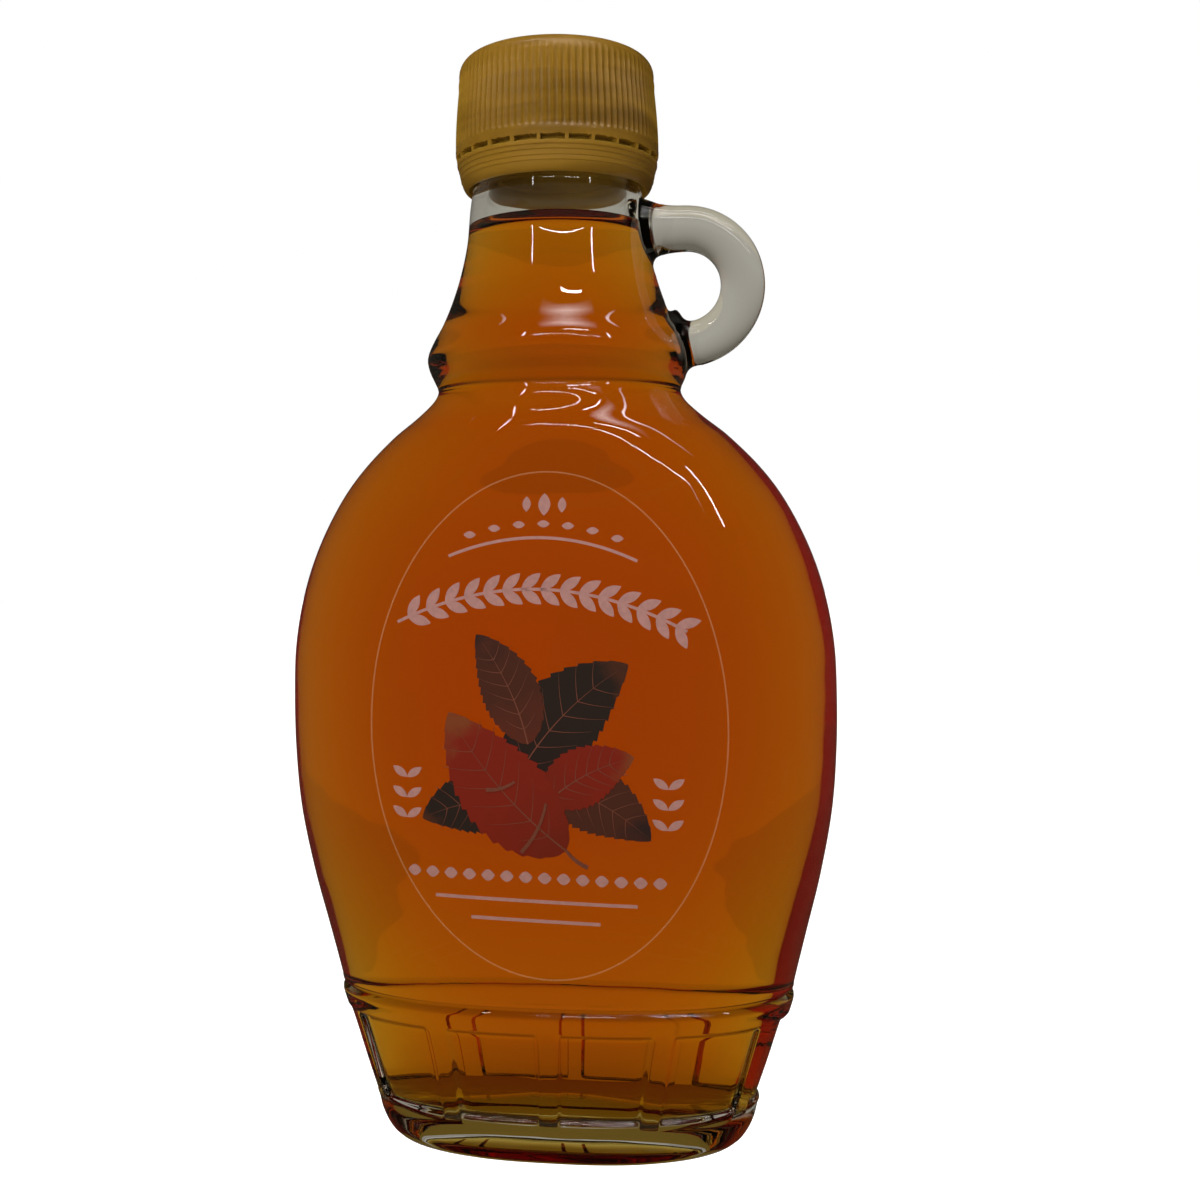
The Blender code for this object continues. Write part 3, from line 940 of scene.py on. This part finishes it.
def make_sticker_edge(material):
    """The fine rim of the clear oval film that carries the print."""
    maker = bmesh.new()
    half = RIM_HALF_WIDTH
    rows = []
    for i in range(RIM_COLUMNS):
        turn = 2 * math.pi * i / RIM_COLUMNS
        row = []
        for grow, lift in ((-half, RIM_LIFT), (half, RIM_LIFT), (half, -RIM_SINK), (-half, -RIM_SINK)):
            x = STICKER_CENTRE[0] + math.sin(turn) * (STICKER_HALF[0] + grow)
            z = STICKER_CENTRE[1] + math.cos(turn) * (STICKER_HALF[1] + grow)
            row.append(maker.verts.new(front_point(x, z, lift)))
        rows.append(row)
    bridge(maker, rows + [rows[0]])
    return new_piece(maker, "sticker_edge", material)


# Materials

def new_material(name):
    material = bpy.data.materials.new(name)
    material.use_nodes = True
    tree = material.node_tree
    return material, tree, tree.nodes["Principled BSDF"]


def set_inputs(shader, values):
    for name, value in values.items():
        shader.inputs[name].default_value = value


def add_node(tree, kind, **settings):
    node = tree.nodes.new(kind)
    for key, value in settings.items():
        setattr(node, key, value)
    return node


def noise(tree, scale, detail=3.0, stretch=(1, 1, 1), distortion=0.0):
    place = add_node(tree, "ShaderNodeTexCoord")
    mapping = add_node(tree, "ShaderNodeMapping")
    mapping.inputs["Scale"].default_value = stretch
    tree.links.new(place.outputs["Object"], mapping.inputs["Vector"])
    texture = add_node(tree, "ShaderNodeTexNoise")
    texture.inputs["Scale"].default_value = scale
    texture.inputs["Detail"].default_value = detail
    texture.inputs["Distortion"].default_value = distortion
    tree.links.new(mapping.outputs["Vector"], texture.inputs["Vector"])
    return texture.outputs["Fac"]


def bump(tree, shader, height, strength, distance):
    node = add_node(tree, "ShaderNodeBump")
    node.inputs["Strength"].default_value = strength
    node.inputs["Distance"].default_value = distance
    tree.links.new(height, node.inputs["Height"])
    tree.links.new(node.outputs["Normal"], shader.inputs["Normal"])


def ramp(tree, factor, stops):
    node = add_node(tree, "ShaderNodeValToRGB")
    elements = node.color_ramp.elements
    while len(elements) < len(stops):
        elements.new(0.5)
    for element, (position, colour) in zip(elements, stops):
        element.position = position
        element.color = (*colour, 1.0)
    tree.links.new(factor, node.inputs["Fac"])
    return node.outputs["Color"]


def absorbing(tree, colour, density):
    node = add_node(tree, "ShaderNodeVolumeAbsorption")
    node.inputs["Color"].default_value = (*colour, 1.0)
    node.inputs["Density"].default_value = density
    tree.links.new(node.outputs["Volume"], tree.nodes["Material Output"].inputs["Volume"])


def glass_material(name, tint):
    """Clear bottle glass: a faint waviness from the mould and a trace of grey green in its depth."""
    material, tree, shader = new_material(name)
    set_inputs(shader, {
        "Base Color": (0.965, 0.985, 0.97, 1.0),
        "Roughness": 0.0,
        "IOR": 1.5,
        "Transmission Weight": 1.0,
        "Specular Tint": (tint, tint, tint, 1.0),
    })
    bump(tree, shader, noise(tree, 60, 2.0), 0.25, 0.0006)
    return material


def syrup_material():
    """Clear amber liquid: yellow where it is thin, deep orange brown where it is thick."""
    material, tree, shader = new_material("syrup")
    set_inputs(shader, {
        "Base Color": (1.0, 1.0, 1.0, 1.0),
        "Roughness": 0.0,
        "IOR": 1.46,
        "Transmission Weight": 1.0,
        "Specular Tint": (0.08, 0.08, 0.08, 1.0),
    })
    absorbing(tree, (0.9756, 0.8102, 0.133), 300.0)
    return material


def cap_material():
    """Gold coloured plastic: soft gloss, with cloudy horizontal bands of painted reflection in its colour.
    """
    material, tree, shader = new_material("gold_plastic")
    # Painted reflection: soft lighter and darker horizontal bands in the base colour.
    reflection_bands = noise(tree, 70, 3.0, (0.5, 0.5, 3.4), 0.4)
    colour = ramp(tree, reflection_bands, [(0.34, (0.120, 0.058, 0.004)), (0.62, (0.225, 0.118, 0.011))])
    tree.links.new(colour, shader.inputs["Base Color"])
    set_inputs(shader, {
        "Metallic": 0.15,
        "IOR": 1.5,
        "Subsurface Weight": 0.4,
        "Subsurface Radius": (1.0, 0.8, 0.4),
        "Subsurface Scale": 0.0025,
    })
    gloss = ramp(tree, noise(tree, 240, 3.0), [(0.3, (0.28, 0.28, 0.28)), (0.7, (0.38, 0.38, 0.38))])
    tree.links.new(gloss, shader.inputs["Roughness"])
    bump(tree, shader, noise(tree, 900, 3.0), 0.15, 0.0001)
    return material


def leaf_material(name, base, middle, tip):
    """Printed leaf: its colour runs from stem to tip, broken up by blotches and a fine grain."""
    material, tree, shader = new_material(name)
    place = add_node(tree, "ShaderNodeUVMap", uv_map="leaf")
    split = add_node(tree, "ShaderNodeSeparateXYZ")
    tree.links.new(place.outputs["UV"], split.inputs["Vector"])
    blotch = add_node(tree, "ShaderNodeMath", operation="MULTIPLY_ADD")
    tree.links.new(noise(tree, 260, 4.0), blotch.inputs[0])
    blotch.inputs[1].default_value = 0.55
    blotch.inputs[2].default_value = -0.27
    moved = add_node(tree, "ShaderNodeMath", operation="ADD")
    tree.links.new(split.outputs["X"], moved.inputs[0])
    tree.links.new(blotch.outputs["Value"], moved.inputs[1])
    colour = ramp(tree, moved.outputs["Value"], [(0.0, base), (0.45, middle), (0.80, middle), (1.0, tip)])
    tree.links.new(colour, shader.inputs["Base Color"])
    shader.inputs["Roughness"].default_value = 0.7
    shader.inputs["Specular IOR Level"].default_value = 0.15
    bump(tree, shader, noise(tree, 3000, 2.0), 0.2, 0.00003)
    return material


def ink_material(name, colour, alpha=1.0):
    """Printed ink, with a fine grain a little darker and paler than its colour."""
    material, tree, shader = new_material(name)
    low = tuple(part * 0.88 for part in colour)
    high = tuple(part * 1.10 for part in colour)
    grain = ramp(tree, noise(tree, 1500, 3.0), [(0.3, low), (0.7, high)])
    tree.links.new(grain, shader.inputs["Base Color"])
    shader.inputs["Roughness"].default_value = 0.6
    shader.inputs["Alpha"].default_value = alpha
    return material


# Stage: radius and height of its discs, which lie just under the foot, and radii of its shells
FLOOR = (2.9, -0.0004)
TABLE = (2.5, -0.0008)
CONTACT = (1.0, -0.0006)
BACKDROP_RADIUS = 2.8
WALLS_RADIUS = 2.6
HEEL_SHADE_PLACE = (0, 0.0160, 0.0032)
HEEL_SHADE_SIZE = (0.074, 0.0060)

# Each glowing card's name, place, width and height, strength and softness of its edges
CARD_TARGET = (0, 0, 0.13)
CARDS = [
    ("ceiling_window", (0.14, -0.42, 0.78), (0.60, 0.18), 8.0, 0.45),
    ("ceiling_strip", (0.05, -0.35, 1.40), (2.20, 0.07), 18.0, 0.30),
    ("frame_bottom", (0.236, -0.928, 0.767), (1.10, 0.014), 30.0, 0.05),
    ("frame_top", (0.388, -0.833, 1.056), (0.42, 0.020), 45.0, 0.05),
    ("frame_left", (-0.443, -0.996, 0.845), (0.020, 0.24), 30.0, 0.05),
    ("frame_right", (0.883, -0.618, 0.864), (0.030, 0.25), 30.0, 0.05),
]


def flat_material(name, colour, emission=0.0, glow=(1.0, 1.0, 1.0)):
    material, _, shader = new_material(name)
    set_inputs(shader, {
        "Base Color": (*colour, 1.0),
        "Roughness": 0.9,
        "Specular IOR Level": 0.0,
        "Emission Color": (*glow, 1.0),
        "Emission Strength": emission,
    })
    return material


def disc(name, radius, height, material):
    maker = bmesh.new()
    bmesh.ops.create_circle(maker, cap_ends=True, segments=96, radius=radius)
    mesh = bpy.data.meshes.new(name)
    maker.to_mesh(mesh)
    maker.free()
    made = add_object(name, mesh, material)
    made.location.z = height
    return made


def unseen(made, *rays):
    for ray in rays:
        setattr(made, "visible_" + ray, False)


def shell(name, radius, material):
    maker = bmesh.new()
    bmesh.ops.create_uvsphere(maker, u_segments=64, v_segments=32, radius=radius)
    made = finish_mesh(maker, name, material)
    return made


def glow_with(tree, shader, colour):
    """Makes a surface that only sends out a colour."""
    set_inputs(shader, {"Base Color": (0, 0, 0, 1), "Specular IOR Level": 0.0, "Emission Strength": 1.0})
    tree.links.new(colour, shader.inputs["Emission Color"])


def room_material():
    """Soft grey surroundings: paler at eye height, dim overhead."""
    material, tree, shader = new_material("room_walls")
    place = add_node(tree, "ShaderNodeTexCoord")
    split = add_node(tree, "ShaderNodeSeparateXYZ")
    tree.links.new(place.outputs["Generated"], split.inputs["Vector"])
    colour = ramp(tree, split.outputs["Z"], [
        (0.0, (0.40, 0.37, 0.32)), (0.58, (0.38, 0.355, 0.31)), (0.70, (0.29, 0.265, 0.225)),
        (0.85, (0.14, 0.125, 0.10)),
    ])
    glow_with(tree, shader, colour)
    return material


def table_material():
    """A glowing table that stands in for the lit one, with painted shadow and painted amber light from the
    syrup close to the jug.
    """
    material, tree, shader = new_material("glowing_table_with_painted_shade")
    place = add_node(tree, "ShaderNodeTexCoord")
    mapping = add_node(tree, "ShaderNodeMapping")
    mapping.inputs["Scale"].default_value = (2, 2, 2)
    tree.links.new(place.outputs["Object"], mapping.inputs["Vector"])
    gradient = add_node(tree, "ShaderNodeTexGradient", gradient_type="SPHERICAL")
    tree.links.new(mapping.outputs["Vector"], gradient.inputs["Vector"])
    # Painted shadow and painted amber light near the jug, an even pale glow further out.
    colour = ramp(tree, gradient.outputs["Fac"], [
        (0.0, (0.45, 0.41, 0.33)), (0.5, (0.45, 0.41, 0.32)), (0.80, (0.42, 0.37, 0.26)),
        (0.87, (0.36, 0.30, 0.14)), (0.93, (0.26, 0.22, 0.03)),
    ])
    glow_with(tree, shader, colour)
    return material


def card_material(strength, softness):
    """A glowing card whose light fades out towards its edges."""
    material, tree, shader = new_material("glowing_card")
    place = add_node(tree, "ShaderNodeTexCoord")
    split = add_node(tree, "ShaderNodeSeparateXYZ")
    tree.links.new(place.outputs["Generated"], split.inputs["Vector"])
    black, white = (0, 0, 0), (1, 1, 1)
    stops = [(0.0, black), (softness, white), (1 - softness, white), (1.0, black)]
    product = add_node(tree, "ShaderNodeMath", operation="MULTIPLY")
    for index, axis in enumerate("XY"):
        tree.links.new(ramp(tree, split.outputs[axis], stops), product.inputs[index])
    scaled = add_node(tree, "ShaderNodeMath", operation="MULTIPLY")
    tree.links.new(product.outputs["Value"], scaled.inputs[0])
    scaled.inputs[1].default_value = strength
    set_inputs(shader, {
        "Base Color": (0, 0, 0, 1),
        "Specular IOR Level": 0.0,
        "Emission Color": (1, 1, 1, 1),
    })
    tree.links.new(scaled.outputs["Value"], shader.inputs["Emission Strength"])
    return material


def panel(name, place, target, size, material):
    """A flat stage sheet that faces its target."""
    maker = bmesh.new()
    half_x, half_y = size[0] / 2, size[1] / 2
    corners = [(-half_x, -half_y), (half_x, -half_y), (half_x, half_y), (-half_x, half_y)]
    maker.faces.new([maker.verts.new((x, y, 0)) for x, y in corners])
    mesh = bpy.data.meshes.new(name)
    maker.to_mesh(mesh)
    maker.free()
    made = add_object(name, mesh, material)
    made.location = place
    made.rotation_euler = (Vector(target) - Vector(place)).to_track_quat("Z", "Y").to_euler()
    return made


def card(name, place, size, strength, softness):
    """A glowing card that only polished surfaces show."""
    made = panel(name, place, CARD_TARGET, size, card_material(strength, softness))
    unseen(made, "camera", "diffuse", "transmission", "volume_scatter", "shadow")


def make_stage():
    """A white surround for the camera, and grey walls and a table for what the glass refracts."""
    floor = disc("floor", *FLOOR, flat_material("pale_floor", (0.92, 0.92, 0.92), emission=0.5))
    unseen(floor, "diffuse", "glossy", "transmission", "volume_scatter", "shadow")
    table = disc("table", *TABLE, table_material())
    unseen(table, "camera", "glossy", "shadow")
    contact = disc("contact_shade", *CONTACT, flat_material("shade", (0.02, 0.015, 0.01)))
    contact.scale = (FOOT[0][1], FOOT[0][2], 1)
    unseen(contact, "camera", "glossy", "shadow")
    backdrop = shell("backdrop", BACKDROP_RADIUS, flat_material("white_backdrop", (0, 0, 0), emission=1.0))
    unseen(backdrop, "diffuse", "glossy", "transmission", "volume_scatter", "shadow")
    walls = shell("walls", WALLS_RADIUS, room_material())
    unseen(walls, "camera", "glossy", "shadow")
    # Painted shade and painted olive light: a dim glowing sheet just behind the heel, out of the camera's
    # direct view.
    olive = flat_material("olive_shade", (0, 0, 0), emission=1.0, glow=(0.12, 0.075, 0.012))
    front = (0, -1, HEEL_SHADE_PLACE[2])
    heel = panel("heel_shade", HEEL_SHADE_PLACE, front, HEEL_SHADE_SIZE, olive)
    unseen(heel, "camera", "glossy", "shadow")


def make_room():
    """The dim room that polished surfaces show outside the lights."""
    world = bpy.data.worlds.new("room")
    bpy.context.scene.world = world
    world.use_nodes = True
    background = world.node_tree.nodes["Background"]
    background.inputs["Color"].default_value = (0.030, 0.025, 0.018, 1.0)
    background.inputs["Strength"].default_value = 1.0
    world.cycles_visibility.camera = False
    world.cycles_visibility.transmission = False


def area_light(name, place, target, size, power):
    data = bpy.data.lights.new(name, "AREA")
    data.shape = "RECTANGLE"
    data.size, data.size_y = size
    data.energy = power
    made = bpy.data.objects.new(name, data)
    bpy.context.scene.collection.objects.link(made)
    made.location = place
    made.rotation_euler = (Vector(target) - Vector(place)).to_track_quat("-Z", "Y").to_euler()
    unseen(made, "camera", "glossy", "transmission")


def sun(name, direction, strength, spread):
    data = bpy.data.lights.new(name, "SUN")
    data.energy = strength
    data.angle = math.radians(spread)
    made = bpy.data.objects.new(name, data)
    bpy.context.scene.collection.objects.link(made)
    made.rotation_euler = Vector(direction).to_track_quat("-Z", "Y").to_euler()
    unseen(made, "camera", "glossy", "transmission")


def make_lights():
    area_light("front_light", (0.05, -0.50, 0.75), (0, 0, 0.10), (0.30, 0.14), 2.2)
    sun("daylight", (0.1, 0.25, -1), 3.2, 90)
    area_light("low_fill", (-0.15, -0.70, 0.05), (0, 0, 0.12), (0.90, 0.40), 5.0)
    for glint in CARDS:
        card(*glint)


def make_camera():
    data = bpy.data.cameras.new("camera")
    data.sensor_width = SENSOR
    data.lens = LENS
    data.clip_start = 0.01
    camera = bpy.data.objects.new("camera", data)
    bpy.context.scene.collection.objects.link(camera)
    pan, pitch, roll = (math.radians(angle) for angle in (CAMERA_PAN, CAMERA_PITCH, CAMERA_ROLL))
    level = Vector((math.sin(pan), math.cos(pan), 0))
    ahead = level * math.cos(pitch) + Vector((0, 0, math.sin(pitch)))
    right = level.cross(Vector((0, 0, 1)))
    up = right.cross(ahead)
    turned_right = right * math.cos(roll) + up * math.sin(roll)
    turned_up = up * math.cos(roll) - right * math.sin(roll)
    turn = Matrix((turned_right, turned_up, -ahead)).transposed()
    camera.matrix_world = Matrix.Translation(CAMERA_PLACE) @ turn.to_4x4()
    bpy.context.scene.camera = camera


def dress(piece, material_slot, *nodes):
    """Books a piece on the part and in place of the solids that it stands for."""
    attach(piece, "root")
    if nodes:
        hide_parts(*nodes)


def make_print():
    colours = {name: leaf_material("leaf_" + name, *stops) for name, stops in LEAF_COLOURS.items()}
    for name, base, tip, bow, half, colour, lift in LEAVES:
        dress(make_leaf(name, base, tip, bow, half, colours[colour], lift), "print_leaf")
    vein = ink_material("vein_ink", (0.090, 0.022, 0.010))
    dress(make_veins(vein), "print_leaf")
    dress(make_stems(vein), "print_leaf")
    dress(make_ornament(ink_material("pale_ink", (0.25, 0.12, 0.105))), "print_ink")
    dress(make_sticker_edge(ink_material("film_edge", (0.45, 0.28, 0.14), alpha=0.10)), "print_ink")


def main():
    scene = bpy.context.scene
    scene.view_settings.view_transform = "Standard"
    scene.cycles.max_bounces = 18
    scene.cycles.transmission_bounces = 18
    make_camera()
    glass = make_glass(glass_material("clear_glass", 1.0), glass_material("wetted_glass", 0.04))
    dress(glass, "clear_glass", "glass")
    syrup = make_syrup(syrup_material())
    dress(syrup, "syrup", "syrup")
    for clear in (glass, syrup):
        unseen(clear, "shadow")
    dress(make_cap(cap_material()), "gold_plastic", "cap")
    make_print()
    make_stage()
    make_room()
    make_lights()


main()
